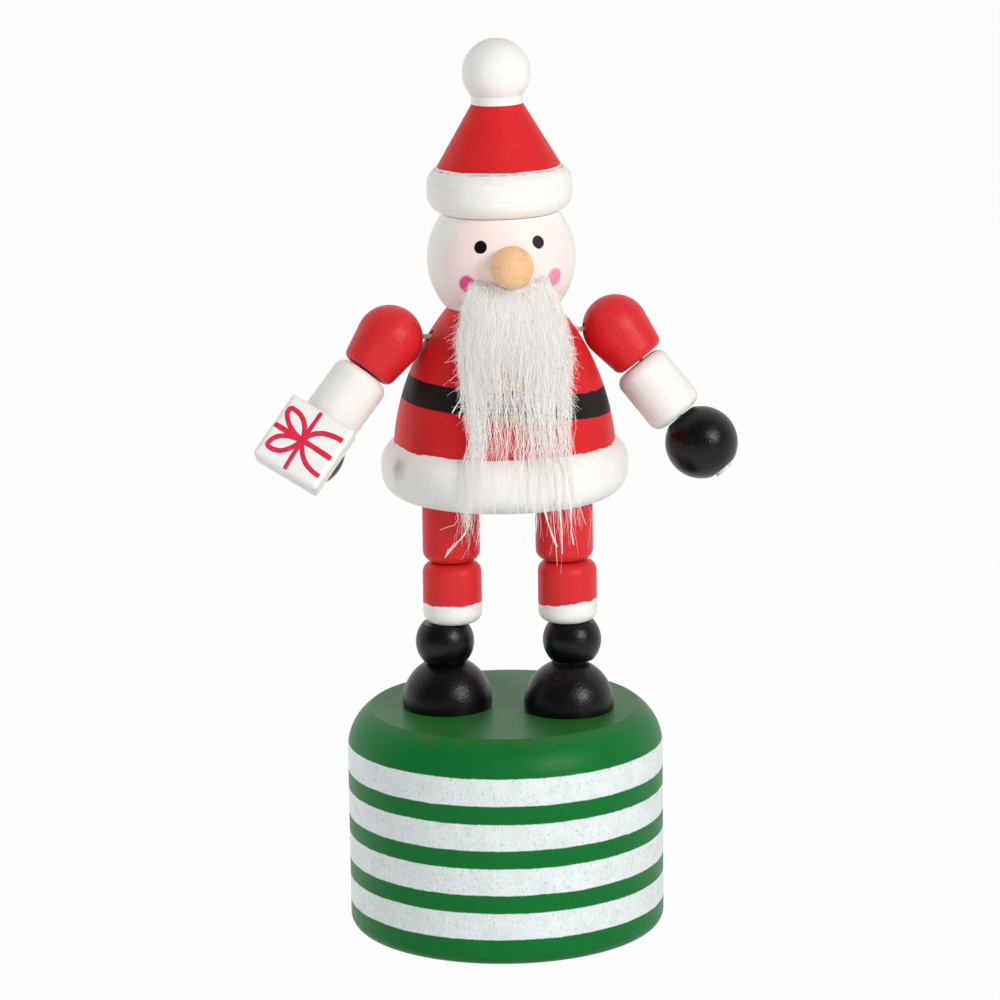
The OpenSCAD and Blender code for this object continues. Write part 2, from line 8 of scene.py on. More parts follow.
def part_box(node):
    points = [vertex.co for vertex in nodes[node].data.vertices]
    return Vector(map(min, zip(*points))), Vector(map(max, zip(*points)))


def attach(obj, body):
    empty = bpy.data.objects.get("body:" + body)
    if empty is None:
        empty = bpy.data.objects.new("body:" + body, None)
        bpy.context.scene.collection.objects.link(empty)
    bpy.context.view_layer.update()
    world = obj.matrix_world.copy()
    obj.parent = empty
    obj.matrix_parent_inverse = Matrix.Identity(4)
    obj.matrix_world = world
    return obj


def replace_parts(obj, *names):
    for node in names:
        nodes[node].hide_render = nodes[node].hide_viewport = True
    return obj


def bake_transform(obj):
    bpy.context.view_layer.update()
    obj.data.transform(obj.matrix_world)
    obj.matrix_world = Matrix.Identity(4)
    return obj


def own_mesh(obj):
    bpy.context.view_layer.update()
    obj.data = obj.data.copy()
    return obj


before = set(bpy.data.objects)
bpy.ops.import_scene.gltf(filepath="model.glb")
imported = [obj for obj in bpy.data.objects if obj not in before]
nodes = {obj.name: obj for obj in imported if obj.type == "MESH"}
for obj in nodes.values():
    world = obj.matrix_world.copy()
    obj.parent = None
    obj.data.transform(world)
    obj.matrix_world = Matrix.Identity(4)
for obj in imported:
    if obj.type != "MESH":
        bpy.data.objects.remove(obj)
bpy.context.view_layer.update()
mm = 0.001
print("stage: frame loaded")


# How the strung beads hang at rest, in millimetres and degrees
stance = {
    "figureX": 0.55,  # the figure stands a little to the right of the drum's middle
    "coatFoot": 69.85, "coatTurn": 11, "shoulder": (17.947, 25.5),
    "neck": 100.05, "headTurn": 7, "headTilt": -0.8, "ballUp": 7.24, "ballRadius": 11.55,
    "elbowDown": 6.6, "elbowTurn": 0.5, "pressTravel": 7.2,
}
arms = {
    "left": {
        "sign": -1, "lean": 18, "out": 36.1, "slip": 0, "hand": (0.08, -0.68, -14.89), "handTurn": (-9, -2.5),
    },
    "right": {
        "sign": 1, "lean": 10, "out": 38, "slip": 0.9, "hand": (0, 0, -15.9), "handTurn": (0, 0),
    },
}
gift = {"turn": -10, "place": (1.12, 0, -1.4), "flat": 4.85, "round": 0.9, "roundMost": 0.85, "front": 9.4}


def turned(angle, axis):
    return Matrix.Rotation(math.radians(angle), 4, axis)


def moved(x, y, z):
    return Matrix.Translation((x, y, z))


figureX, headTurn = stance["figureX"], turned(stance["headTurn"], "Z")
torsoFrame = moved(figureX, 0, stance["coatFoot"]) @ turned(stance["coatTurn"], "Z")
headFrame = moved(figureX, 0, stance["neck"]) @ headTurn @ turned(stance["headTilt"], "Y")
ballFrame = headFrame @ moved(0, 0, stance["ballUp"])
faceFrame = moved(figureX, 0, 0) @ headTurn


def hangArm(arm):
    sign, (across, up) = arm["sign"], stance["shoulder"]
    shoulder = torsoFrame @ moved(sign * across, 0, up) @ turned(-stance["coatTurn"], "Z")
    upper = shoulder @ turned(-arm["lean"], "X") @ turned(-sign * arm["out"], "Y")
    elbow = moved(-sign * arm["slip"], 0, -stance["elbowDown"])
    fore = upper @ elbow @ turned(-sign * stance["elbowTurn"], "Y")
    tipped, rolled = arm["handTurn"]
    hand = fore @ moved(*arm["hand"]) @ (turned(tipped, "X") @ turned(rolled, "Y"))
    return {"upper": upper, "fore": fore, "hand": hand}


armFrames = {side: hangArm(arm) for side, arm in arms.items()}
giftFrame = armFrames["left"]["hand"] @ turned(gift["turn"], "Z") @ moved(*gift["place"])


# One node of any tree: its settings first, then the values or links of its sockets
def addNode(tree, kind, settings=None, values=None):
    made = tree.nodes.new(kind)
    for key, value in (settings or {}).items():
        setattr(made, key, value)
    for key, value in (values or {}).items():
        if isinstance(value, bpy.types.NodeSocket):
            tree.links.new(value, made.inputs[key])
        else:
            made.inputs[key].default_value = value
    return made


# Sockets as values, so that a pattern reads like the sum that it is
class Wire:
    def __init__(self, paint, socket):
        self.paint = paint
        self.socket = socket

    def calc(self, operation, *others):
        values = dict(enumerate((self, *others)))
        return self.paint.node("ShaderNodeMath", {"operation": operation}, values)

    def __add__(self, other):
        return self.calc("ADD", other)

    def __sub__(self, other):
        return self.calc("SUBTRACT", other)

    def __mul__(self, other):
        return self.calc("MULTIPLY", other)

    def __neg__(self):
        return self * -1.0

    def __rsub__(self, other):
        return -self + other

    def __abs__(self):
        return self.calc("ABSOLUTE")

    __radd__ = __add__
    __rmul__ = __mul__

    def rise(self, low, high):
        values = {"Value": self, "From Min": low, "From Max": high}
        return self.paint.node("ShaderNodeMapRange", {"interpolation_type": "SMOOTHSTEP"}, values)

    def stretch(self, factors):
        return self.paint.node("ShaderNodeVectorMath", {"operation": "MULTIPLY"}, {0: self, 1: factors})

    def away(self, point):
        gap = self.paint.node("ShaderNodeVectorMath", {"operation": "SUBTRACT"}, {0: self, 1: point})
        return self.paint.node("ShaderNodeVectorMath", {"operation": "LENGTH"}, {0: gap}, "Value")


class Paint:
    def __init__(self, name):
        self.material = bpy.data.materials.new(name)
        self.material.use_nodes = True
        self.tree = self.material.node_tree
        self.tree.nodes.clear()
        self.place = self.node("ShaderNodeTexCoord", None, None, "Object").stretch((1000, 1000, 1000))

    def node(self, kind, settings=None, values=None, out=0):
        values = values or {}
        plugs = {key: value.socket if isinstance(value, Wire) else value for key, value in values.items()}
        return Wire(self, addNode(self.tree, kind, settings, plugs).outputs[out])

    def split(self, vector):
        first = self.node("ShaderNodeSeparateXYZ", None, {0: vector})
        return [Wire(self, socket) for socket in first.socket.node.outputs]

    def within(self, matrix):
        values = {"Vector": self.place, "Location": matrix.to_translation(), "Rotation": matrix.to_euler()}
        return self.node("ShaderNodeMapping", {"vector_type": "TEXTURE"}, values)

    def cloud(self, place, scale, detail=2.0):
        values = {"Vector": place, "Scale": scale, "Detail": detail}
        return self.node("ShaderNodeTexNoise", None, values) - 0.5

    def mix(self, factor, low, high):
        return self.node("ShaderNodeMix", {"data_type": "RGBA"}, {0: factor, 6: low, 7: high}, 2)

    def tone(self, colour, factor):
        colour = colour if isinstance(colour, Wire) else colour[:3]
        return self.node("ShaderNodeVectorMath", {"operation": "SCALE"}, {0: colour, "Scale": factor})

    def output(self, shader):
        addNode(self.tree, "ShaderNodeOutputMaterial", None, {"Surface": shader.socket})
        return self.material

    def surface(self, values):
        return self.output(self.node("ShaderNodeBsdfPrincipled", None, values))


def tint(red, green, blue):
    def linear(value):
        value = value / 255
        return value / 12.92 if value <= 0.04045 else ((value + 0.055) / 1.055) ** 2.4

    return (linear(red), linear(green), linear(blue), 1.0)


# Lacquered wood: blotches, turning lines, pores and grain, in its colour, its gloss and its relief
def lacquer(paint, colour, look, place=None, even=None):
    place = place or paint.place
    blotch = paint.cloud(place, look["blotchScale"], 3.0)
    lines = paint.cloud(place.stretch(look["lineStretch"]), 1.0, 3.0)
    pores = paint.cloud(place, look["poreScale"], 3.0)
    grain = paint.cloud(place.stretch(look["grainStretch"]), 1.0, 4.0)
    shade = blotch * look["blotch"] + lines * look["lines"]
    shade = shade + pores * look["pores"] + grain * look["grain"] + 1.0
    height = lines * look["turnHeight"] + pores * look["poreHeight"]
    height = height + blotch * look["waveHeight"] + grain * look["grainHeight"]
    if even is not None:
        height = height * (1.0 - even)
    return paint.surface({
        "Base Color": paint.tone(colour, shade),
        "Roughness": look["rough"] + pores * look["roughSpread"] + blotch * look["roughDrift"],
        "Metallic": look["metal"],
        "Specular IOR Level": look["specular"],
        "Normal": paint.node("ShaderNodeBump", None, {"Strength": 1.0, "Distance": mm, "Height": height}),
    })


satin = {
    "blotchScale": 0.23, "poreScale": 2.9, "lineStretch": (0.1, 0.1, 2.2), "grainStretch": (1.5, 1.5, 0.2),
    "blotch": 0.14, "lines": 0.06, "pores": 0.08, "grain": 0.08,
    "turnHeight": 0.014, "poreHeight": 0.07, "waveHeight": 0.06, "grainHeight": 0.06,
    "rough": 0.4, "roughSpread": 0.2, "roughDrift": 0.12, "metal": 0.0, "specular": 0.26,
}
glossy = dict(
    satin, rough=0.3, roughSpread=0.15, specular=0.28, lines=0.1, blotch=0.3,
    poreHeight=0.06, grainHeight=0.008,
)
chalky = dict(
    satin, blotch=0.06, lines=0.04, pores=0.07, poreHeight=0.05, rough=0.5, specular=0.22, grain=0.06,
)
smooth = dict(chalky, poreHeight=0.005, turnHeight=0.0, grainHeight=0.0, rough=0.35)
red = tint(216, 40, 44)
white = tint(243, 241, 238)
black = tint(12, 10, 9)


# Base: a green drum with four printed white bands, rubbed on top and bare below
drum = {
    "green": tint(8, 110, 46), "print": tint(234, 240, 242),
    "bare": tint(196, 160, 112), "worn": tint(108, 84, 58),
    "bands": ((4.4, 8.62), (11.52, 15.77), (18.67, 22.89), (25.81, 30.15)), "blur": 0.1,
    "under": (0.25, 0.05), "rubbed": (33.9, 35.6), "speckStretch": (1.2, 1.2, 0.55), "speckScale": 2.9,
}


def paintBase():
    paint = Paint("green_paint")
    place, z = paint.place, paint.split(paint.place)[2]
    height = z + (paint.cloud(place, 0.3) * 0.25 + paint.cloud(place, 1.6) * 0.18)
    blur, bands = drum["blur"], 0.0
    for low, high in drum["bands"]:
        bands = height.rise(low - blur, low + blur) * height.rise(high + blur, high - blur) + bands
    specks = paint.cloud(place.stretch(drum["speckStretch"]), drum["speckScale"], 4.0).rise(0.04, 0.22)
    thin = paint.cloud(place, 0.45, 3.0).rise(-0.2, 0.3) * 0.1 + specks * 0.32
    colour = paint.mix(bands * (1.0 - thin), drum["green"], drum["print"])
    colour = paint.mix(z.rise(*drum["under"]), colour, drum["bare"])
    rubbed = z.rise(*drum["rubbed"]) * (paint.cloud(place, 0.25, 4.0).rise(-0.25, 0.25) * 0.2 + 0.02)
    colour = paint.mix(rubbed, colour, drum["worn"])
    return lacquer(paint, colour, dict(satin, specular=0.15, poreHeight=0.03, grainHeight=0.02))


# Torso: red coat, white rolled hem, black belt with a gold buckle, all paint
coat = {
    "hem": 78.55, "hemBlur": 0.07, "belt": (86.75, -0.075, -0.0015), "beltHalf": 1.87, "beltBlur": 0.08,
    "leather": tint(29, 25, 23), "buckle": (0.32, 87.1), "buckleSize": (3.2, 2.8), "gold": tint(196, 150, 62),
    "smudge": (-15.98, -9.7, 76.25), "smudgeReach": (2.9, 0.2), "dirt": tint(146, 140, 142),
}


def paintTorso():
    paint = Paint("coat_paint")
    place = paint.place
    x, y, z = paint.split(place)
    wobble = paint.cloud(place, 0.3) * 0.7 + paint.cloud(place, 1.5) * 0.05
    line = wobble + x.rise(-12.0, -20.0) * 0.3 + coat["hem"]
    colour = paint.mix((z - line).rise(coat["hemBlur"], -coat["hemBlur"]), red, white)
    smudge = place.away(coat["smudge"]) + paint.cloud(place, 0.5, 3.0) * 2.6
    colour = paint.mix(smudge.rise(*coat["smudgeReach"]) * 0.55, colour, coat["dirt"])
    level, slope, bend = coat["belt"]
    off = z - (x * slope + x * x * bend + level) + paint.cloud(place, 0.5) * 0.35
    worn = paint.cloud(place, 0.9, 3.0) * 0.9 + x.rise(-15.0, -18.5) * 0.3
    half, blur = coat["beltHalf"], coat["beltBlur"]
    belt = abs(off).rise(half + blur, half - blur) * worn.rise(0.62, 0.52)
    colour = paint.mix(belt, colour, coat["leather"])
    across, up = abs(x - coat["buckle"][0]), abs(z - coat["buckle"][1])
    wide, tall = coat["buckleSize"]
    reach = (across - wide).calc("MAXIMUM", up - tall)
    buckle = reach.rise(blur, -blur) * reach.rise(-1.05, -0.9) * y.rise(0.0, -1.0)
    colour = paint.mix(buckle, colour, coat["gold"])
    rough = satin["rough"] + belt * 0.08 + buckle * 0.02
    look = dict(satin, specular=0.12, rough=rough, metal=buckle * 0.7)
    return lacquer(paint, colour, look, None, belt * 0.6)


# Head: pink face in front, white hair behind, dot eyes and round cheeks
face = {
    "skin": tint(252, 232, 228), "edge": 6.0, "edgeBlur": 0.12,
    "eyes": (((-4.39, -10.12, 3.34), tint(5, 4, 5)), ((4.56, -9.94, 3.69), tint(38, 18, 30))),
    "cheeks": (
        ((-6.45, -9.23, -2.51), tint(226, 66, 138), 0.95), ((7.06, -8.88, -2.06), tint(234, 112, 166), 0.8),
    ),
    "eyeRim": (1.11, 0.93), "cheekRim": (1.72, 1.2),
}


def paintHead():
    paint = Paint("face_paint")
    local = paint.within(ballFrame)
    front = -paint.split(local)[1] + paint.cloud(local, 0.4) * 0.5
    edge, blur = face["edge"], face["edgeBlur"]
    colour = paint.mix(front.rise(edge - blur, edge + blur), white, face["skin"])
    ragged = paint.cloud(local, 1.3) * 0.35
    for point, shade, strength in face["cheeks"]:
        colour = paint.mix((local.away(point) + ragged).rise(*face["cheekRim"]) * strength, colour, shade)
    for point, shade in face["eyes"]:
        colour = paint.mix((local.away(point) + ragged * 0.5).rise(*face["eyeRim"]), colour, shade)
    return lacquer(paint, colour, chalky, local)


# Hat: white brim, red cone, and a thin broken line of painted shade in the crease between them
hat = {"cone": (21.6, 21.75), "seam": 21.4, "seamBlur": (0.17, 0.05), "creaseShade": tint(170, 140, 120)}


def paintHat():
    paint = Paint("hat_paint")
    local = paint.within(headFrame)
    line = paint.split(local)[2] + paint.cloud(local, 0.5) * 0.25
    colour = paint.mix(line.rise(*hat["cone"]), white, red)
    # painted shade: a thin, broken tan line in the crease just below the red cone
    seam = abs(line - hat["seam"]).rise(*hat["seamBlur"]) * paint.cloud(local, 0.8, 3.0).rise(-0.15, 0.15)
    colour = paint.mix(seam * 0.6, colour, hat["creaseShade"])
    return lacquer(paint, colour, dict(satin, lines=0.14, turnHeight=0.02, specular=0.1), local)


# Shins: red barrels with a white painted cuff, by its level, slope and middle
cuffs = {"left_shin": (52.87, 0.0, -7.98), "right_shin": (52.87, 0.1, 10.14)}


def paintShin(name):
    level, slope, middle = cuffs[name]
    paint = Paint("trouser_paint_" + name)
    x, z = paint.split(paint.place)[::2]
    wobble = paint.cloud(paint.place, 0.6) * 0.8 + paint.cloud(paint.place, 2.0) * 0.15
    line = (x - middle) * slope + wobble + level
    return lacquer(paint, paint.mix((z - line).rise(coat["hemBlur"], -coat["hemBlur"]), red, white), satin)


def plain(name, colour, look, matrix=None):
    paint = Paint(name)
    return lacquer(paint, colour, look, paint.within(matrix) if matrix else None)


# Bare wood: long pale grain with darker late-wood lines
def paintWood(name, early, late, matrix, grain):
    paint = Paint(name)
    local = paint.within(matrix)
    along = local.stretch(grain)
    fibres = paint.cloud(local.stretch([4 * part for part in grain]), 1.0, 4.0)
    rings = (paint.split(along)[0] * 4.0 + paint.cloud(along, 0.8, 3.0) * 9.0).calc("SINE")
    colour = paint.mix(rings.rise(-0.2, 1.2) * 0.55 + fibres * 0.5, early, late)
    return lacquer(paint, colour, dict(satin, lines=0.02))


def paintSteel():
    paint = Paint("spring_steel")
    scale = paint.cloud(paint.place, 1.5, 3.0)
    colour = paint.tone(tint(176, 176, 178), scale * 0.3 + 1.0)
    return paint.surface({"Base Color": colour, "Metallic": 1.0, "Roughness": scale * 0.2 + 0.32})


def paintCord():
    paint = Paint("cord")
    fuzz = paint.cloud(paint.place, 5.0, 4.0)
    colour = paint.tone(tint(226, 218, 200), fuzz * 0.35 + 1.0)
    bump = paint.node("ShaderNodeBump", None, {"Strength": 0.6, "Distance": 0.05 * mm, "Height": fuzz})
    return paint.surface({"Base Color": colour, "Roughness": 0.85, "Normal": bump})


def paintHair():
    paint = Paint("hair")
    tone = paint.node("ShaderNodeAttribute", {"attribute_name": "tone"}, None, "Fac")
    along = paint.node("ShaderNodeAttribute", {"attribute_name": "along"}, None, "Fac")
    colour = paint.mix(tone, tint(254, 249, 244), tint(255, 255, 253))
    root = along.rise(0.9, 0.1) * tone.rise(0.75, 0.2)
    return paint.surface({
        "Base Color": paint.mix(root * 0.2, colour, tint(238, 214, 184)), "Roughness": 0.5,
        "Specular IOR Level": 0.4, "Sheen Weight": 0.45, "Sheen Roughness": 0.5,
    })


def paintBow():
    paint = Paint("bow_paint")
    patch = paint.cloud(paint.place, 1.3, 3.0)
    colour = paint.mix(patch.rise(-0.25, 0.3), tint(222, 22, 44), tint(232, 40, 96))
    return paint.surface({"Base Color": colour, "Roughness": 0.4, "Coat Weight": 0.2})


noseGrain, buttonGrain = (0.25, 1.0, 1.0), (1.0, 0.12, 0.12)
buttonWood = tint(222, 188, 140), tint(190, 146, 96)
finishes = {
    "base": paintBase(), "torso": paintTorso(), "head": paintHead(), "hat": paintHat(),
    "left_shin": paintShin("left_shin"), "right_shin": paintShin("right_shin"),
    "nose": paintWood("nose_wood", tint(247, 200, 152), tint(236, 176, 124), ballFrame, noseGrain),
    "button": paintWood("bare_wood", *buttonWood, Matrix.Identity(4), buttonGrain),
    "bobble": plain("white_paint", white, chalky),
    "gift_block": plain("gift_paint", tint(243, 242, 240), dict(chalky, lines=0.0), giftFrame),
}
redWood = plain("red_paint", red, satin)
blackWood = plain("black_paint", black, glossy)
pegWood = plain("peg_paint", tint(232, 229, 233), smooth)
for side, arm in armFrames.items():
    finishes[side + "_thigh"] = redWood
    finishes[side + "_shoe"] = finishes[side + "_ankle"] = blackWood
    finishes[side + "_upper_arm"] = plain("red_paint_" + side + "_arm", red, satin, arm["upper"])
    finishes[side + "_forearm"] = plain("white_paint_" + side + "_arm", white, chalky, arm["fore"])
    finishes[side + "_hand"] = plain("black_paint_" + side + "_hand", black, glossy, arm["hand"])
    finishes[side + "_plug"] = pegWood
for name, material in finishes.items():
    mesh = nodes[name].data
    mesh.materials.clear()
    mesh.materials.append(material)
print("stage: paint on", len(finishes), "nodes")


# Geometry Nodes: every edge chain of a mesh becomes a strand, round or combed flat against the figure
strandInputs = {
    "Paths": "Geometry", "Profile Sides": "Int", "Flatness": "Float", "Frizz": "Float", "Seed": "Int",
    "Finish": "Material",
}
combing = {"Min": (-0.3, -0.3, -0.05), "Max": (0.3, 0.3, 0.35)}  # how far a flat hair's face may tilt


def sweepTree(title, combed):
    tree = bpy.data.node_groups.new(title, "GeometryNodeTree")
    for label, kind in strandInputs.items():
        tree.interface.new_socket(label, in_out="INPUT", socket_type="NodeSocket" + kind)
    tree.interface.new_socket("Strands", in_out="OUTPUT", socket_type="NodeSocketGeometry")

    def add(kind, settings=None, values=None):
        return addNode(tree, kind, settings, values).outputs

    def vector(operation, values):
        return add("ShaderNodeVectorMath", {"operation": operation}, values)[0]

    def drawn(values):
        return add("FunctionNodeRandomValue", {"data_type": "FLOAT_VECTOR"}, values)[0]

    def column(name):
        return add("GeometryNodeInputNamedAttribute", {"data_type": "FLOAT"}, {"Name": name})[0]

    start = add("NodeGroupInput")
    jitter = drawn({"Min": (-1, -1, -1), "Max": (1, 1, 1), "Seed": start["Seed"]})
    offset = vector("SCALE", {0: jitter, "Scale": start["Frizz"]})
    shaken = add("GeometryNodeSetPosition", None, {"Geometry": start["Paths"], "Offset": offset})[0]
    chains = add("GeometryNodeMeshToCurve", None, {0: shaken})[0]
    sized = add("GeometryNodeSetCurveRadius", None, {0: chains, "Radius": column("thick")})[0]
    if combed:
        level = vector("MULTIPLY", {0: add("GeometryNodeInputPosition")[0], 1: (1, 1, 0)})
        number = add("ShaderNodeMath", {"operation": "MULTIPLY"}, {0: column("tone"), 1: 100000.0})[0]
        tilt = drawn(dict(combing, ID=number, Seed=start["Seed"]))
        outward = vector("NORMALIZE", {0: vector("ADD", {0: vector("NORMALIZE", {0: level}), 1: tilt})})
        sized = add("GeometryNodeSetCurveNormal", {"mode": "FREE"}, {0: sized, "Normal": outward})[0]
    values = {"Resolution": start["Profile Sides"], "Radius": 1.0}
    ring = add("GeometryNodeCurvePrimitiveCircle", None, values)[0]
    thin = add("ShaderNodeCombineXYZ", None, {"X": start["Flatness"], "Y": 1.0, "Z": 1.0})[0]
    ring = add("GeometryNodeTransform", None, {"Geometry": ring, "Scale": thin})[0]
    values = {"Curve": sized, "Profile Curve": ring, "Fill Caps": True}
    tube = addNode(tree, "GeometryNodeCurveToMesh", None, values)
    if "Scale" in tube.inputs:
        tree.links.new(add("GeometryNodeInputRadius")[0], tube.inputs["Scale"])
    shaded = add("GeometryNodeSetShadeSmooth", None, {0: tube.outputs[0], "Shade Smooth": not combed})[0]
    real = add("GeometryNodeRealizeInstances", None, {0: shaded})[0]
    done = add("GeometryNodeSetMaterial", None, {"Geometry": real, "Material": start["Finish"]})[0]
    add("NodeGroupOutput", None, {0: done})
    return tree


roundTree = sweepTree("Round strands", False)
combedTree = sweepTree("Combed strands", True)


# A path is a list of (point, radius, along, tone), points in millimetres
def sweep(name, paths, finish, sides, frizz=0.0, seed=1, flatness=1.0):
    points, edges, columns = [], [], {"thick": [], "along": [], "tone": []}
    for path in paths:
        first = len(points)
        for index, (point, radius, along, tone) in enumerate(path):
            points.append(Vector(point) * mm)
            columns["thick"].append(radius * mm)
            columns["along"].append(along)
            columns["tone"].append(tone)
            if index:
                edges.append((first + index - 1, first + index))
    mesh = bpy.data.meshes.new(name + "_paths")
    mesh.from_pydata(points, edges, [])
    for key, values in columns.items():
        mesh.attributes.new(key, "FLOAT", "POINT").data.foreach_set("value", values)
    paths = bpy.data.objects.new(name + "_paths", mesh)
    bpy.context.scene.collection.objects.link(paths)
    modifier = paths.modifiers.new("Strands", "NODES")
    modifier.node_group = roundTree if flatness == 1.0 else combedTree
    chosen = {
        "Profile Sides": sides, "Flatness": flatness, "Frizz": frizz * mm, "Seed": seed, "Finish": finish,
    }
    for item in modifier.node_group.interface.items_tree:
        if item.in_out == "INPUT" and item.name in chosen:
            modifier[item.identifier] = chosen[item.name]
    graph = bpy.context.evaluated_depsgraph_get()
    solid = bpy.data.meshes.new_from_object(paths.evaluated_get(graph))
    bpy.data.objects.remove(paths)
    solid.name = name
    piece = bpy.data.objects.new(name, solid)
    bpy.context.scene.collection.objects.link(piece)
    return piece


# Rings of the coat's turned profile, read from its own mesh
def coatRings():
    rings = {}
    for vertex in nodes["torso"].data.vertices:
        x, y, z = vertex.co / mm
        key = round(z, 2)
        rings[key] = max(rings.get(key, 0.0), math.hypot(x - figureX, y))
    return sorted(rings.items())


coatProfile = coatRings()


def coatRadius(z):
    if z <= coatProfile[0][0]:
        return coatProfile[0][1]
    for (lowZ, lowR), (highZ, highR) in zip(coatProfile, coatProfile[1:]):
        if lowZ <= z < highZ:
            return lowR + (z - lowZ) / (highZ - lowZ) * (highR - lowR)
    return 0.0


sampling = {"from": 60, "count": 460, "perMm": 10}
coatTable = [coatRadius(sampling["from"] + step / sampling["perMm"]) for step in range(sampling["count"])]
ballMiddle = stance["neck"] + stance["ballUp"]


def ballRadius(z):
    return math.sqrt(max(stance["ballRadius"] ** 2 - (z - ballMiddle) ** 2, 0.0))


def solidRadius(z):
    index = (z - sampling["from"]) * sampling["perMm"]
    low = max(0, min(sampling["count"] - 2, int(index)))
    share = min(max(index - low, 0.0), 1.0)
    return max(coatTable[low] * (1 - share) + coatTable[low + 1] * share, ballRadius(z))


def blendBetween(stops, value):
    for (low, start), (high, end) in zip(stops, stops[1:]):
        if value <= high:
            share = min(max((value - low) / (high - low), 0.0), 1.0)
            return start + (end - start) * share * share * (3 - 2 * share)
    return stops[-1][1]


# Beard: a tuft of soft white hair, glued on under the nose and combed down over the coat
beard = {
    "rootHigh": (
        (-6.3, 104.9), (-5.2, 105.5), (-3.4, 105.2), (-1.0, 104.5),
        (1.2, 104.5), (3.2, 105.4), (5.0, 105.9), (5.9, 105.7),
    ),
    "rootDepth": 2.4, "rootSpan": 6.1,
    "leftEdge": (
        (60.0, -10.4), (70.5, -9.6), (76.0, -8.9), (82.0, -7.8),
        (88.5, -8.1), (94.8, -8.5), (100.0, -7.5), (105.0, -6.2),
    ),
    "rightEdge": (
        (60.0, 11.0), (69.5, 10.5), (75.0, 9.4), (81.0, 8.6),
        (88.0, 8.6), (94.0, 9.4), (99.4, 8.2), (105.7, 5.8),
    ),
    "thick": 0.03, "points": 16, "hemWidest": 74.2, "thinBelow": 79, "seed": 41,
    "spreadFall": 9.0, "waveFall": 8, "crimpFall": 3, "puffFall": 3.6, "holdFall": 3.2,
    "groups": (
        {"count": 4600, "tip": (-0.95, 0.95), "low": (91.5, 102.0), "clump": 4, "spread": 0.09, "wave": 0.5},
        {"count": 190, "tip": (-0.95, -0.42), "low": (82.0, 92.0), "clump": 2, "spread": 0.06, "wave": 0.6},
        {"count": 210, "tip": (0.42, 0.95), "low": (82.0, 92.0), "clump": 2, "spread": 0.06, "wave": 0.6},
        {"count": 80, "tip": (-0.42, 0.42), "low": (84.0, 92.0), "clump": 1, "spread": 0.08, "wave": 0.6},
        {"count": 130, "tip": (-0.95, -0.68), "low": (66.5, 77.0), "clump": 3, "spread": 0.04, "wave": 0.45},
        {"count": 110, "tip": (-0.68, 0.16), "low": (74.0, 86.0), "clump": 1, "spread": 0.08, "wave": 0.7},
        {"count": 105, "tip": (0.12, 0.5), "low": (67.0, 79.0), "clump": 2, "spread": 0.05, "wave": 0.6},
        {"count": 130, "tip": (0.5, 0.93), "low": (66.0, 80.0), "clump": 2, "spread": 0.06, "wave": 0.6},
        {"count": 44, "tip": (-1.0, 1.0), "low": (62.5, 68.0), "clump": 1, "spread": 0.1, "wave": 0.9},
    ),
    "locks": (
        ((-8.2, 68.6), (-8.7, 67.5), (-9.4, 66.6), (-10.1, 65.8), (-10.9, 64.7), (-11.5, 63.7)),
        ((6.0, 71.5), (6.3, 68.0), (6.25, 64.1)), ((3.6, 71.0), (4.6, 67.4), (5.5, 65.3)),
        ((7.8, 70.4), (7.8, 67.3), (8.2, 65.4)), ((-8.0, 89.6), (-8.6, 87.8), (-9.8, 85.9)),
        ((-7.9, 89.0), (-8.2, 87.2), (-8.8, 85.2)), ((-7.9, 91.0), (-8.4, 89.0), (-8.5, 87.4)),
    ),
    "wisps": (
        ((-0.5, 70.8), (-0.55, 67.4), (-1.3, 65.4), (-2.0, 63.5)), ((0.4, 70.5), (0.2, 66.6), (0.0, 62.5)),
        ((2.2, 68.2), (1.25, 65.4), (0.6, 60.8)), ((-4.0, 70.6), (-3.7, 67.5)), ((5.2, 66.0), (5.5, 62.3)),
        ((-9.5, 69.9), (-10.1, 69.0), (-11.0, 68.4), (-12.2, 67.9)),
        ((9.4, 70.5), (10.3, 68.0)), ((-6.4, 70.0), (-6.2, 67.6)),
    ),
    "lockHairs": 6, "lockThick": 0.042, "lockAbove": 1.5,
    "looseThick": 0.026, "loosePoints": 7, "looseDroop": 0.45,
    "frizz": {
        "count": 1300, "top": 104.0, "reach": 19.0, "share": (0.86, 1.0), "proud": (0.4, 1.8), "curl": 0.9,
    },
    "fuzz": {"count": 700, "depth": 0.9, "proud": (0.0, 0.5), "length": (0.3, 1.1), "curl": 0.9},
    "cotton": {
        "count": 2300, "top": 105.0, "reach": 17.0, "proud": (1.6, 1.5), "length": (0.8, 2.8), "curl": 1.0,
    },
    "tufts": 5, "sides": 3, "flatness": 0.25, "shake": 0.03, "shakeSeed": 7,
}
rootLeft, rootRight = beard["rootHigh"][0][0], beard["rootHigh"][-1][0]


def beardEdges(z):
    return blendBetween(beard["leftEdge"], z), blendBetween(beard["rightEdge"], z)


def beardX(share, z):
    left, right = beardEdges(z)
    return left + (right - left) * (share + 1) / 2


def beardShare(x, z):
    left, right = beardEdges(z)
    return 2 * (x - left) / (right - left) - 1


def frontY(x, radius):
    return -math.sqrt(max(radius * radius - x * x, 1.0))


def beardRadius(z, layer):
    return solidRadius(max(z, beard["hemWidest"])) + 0.25 + layer * (1.8 if z > beard["thinBelow"] else 0.9)


def eased(fall, length):
    return 1 - math.exp(-fall / length)


def softMax(one, other, sharp=2.5):
    top = max(one, other)
    return top + math.log(math.exp((one - top) * sharp) + math.exp((other - top) * sharp)) / sharp


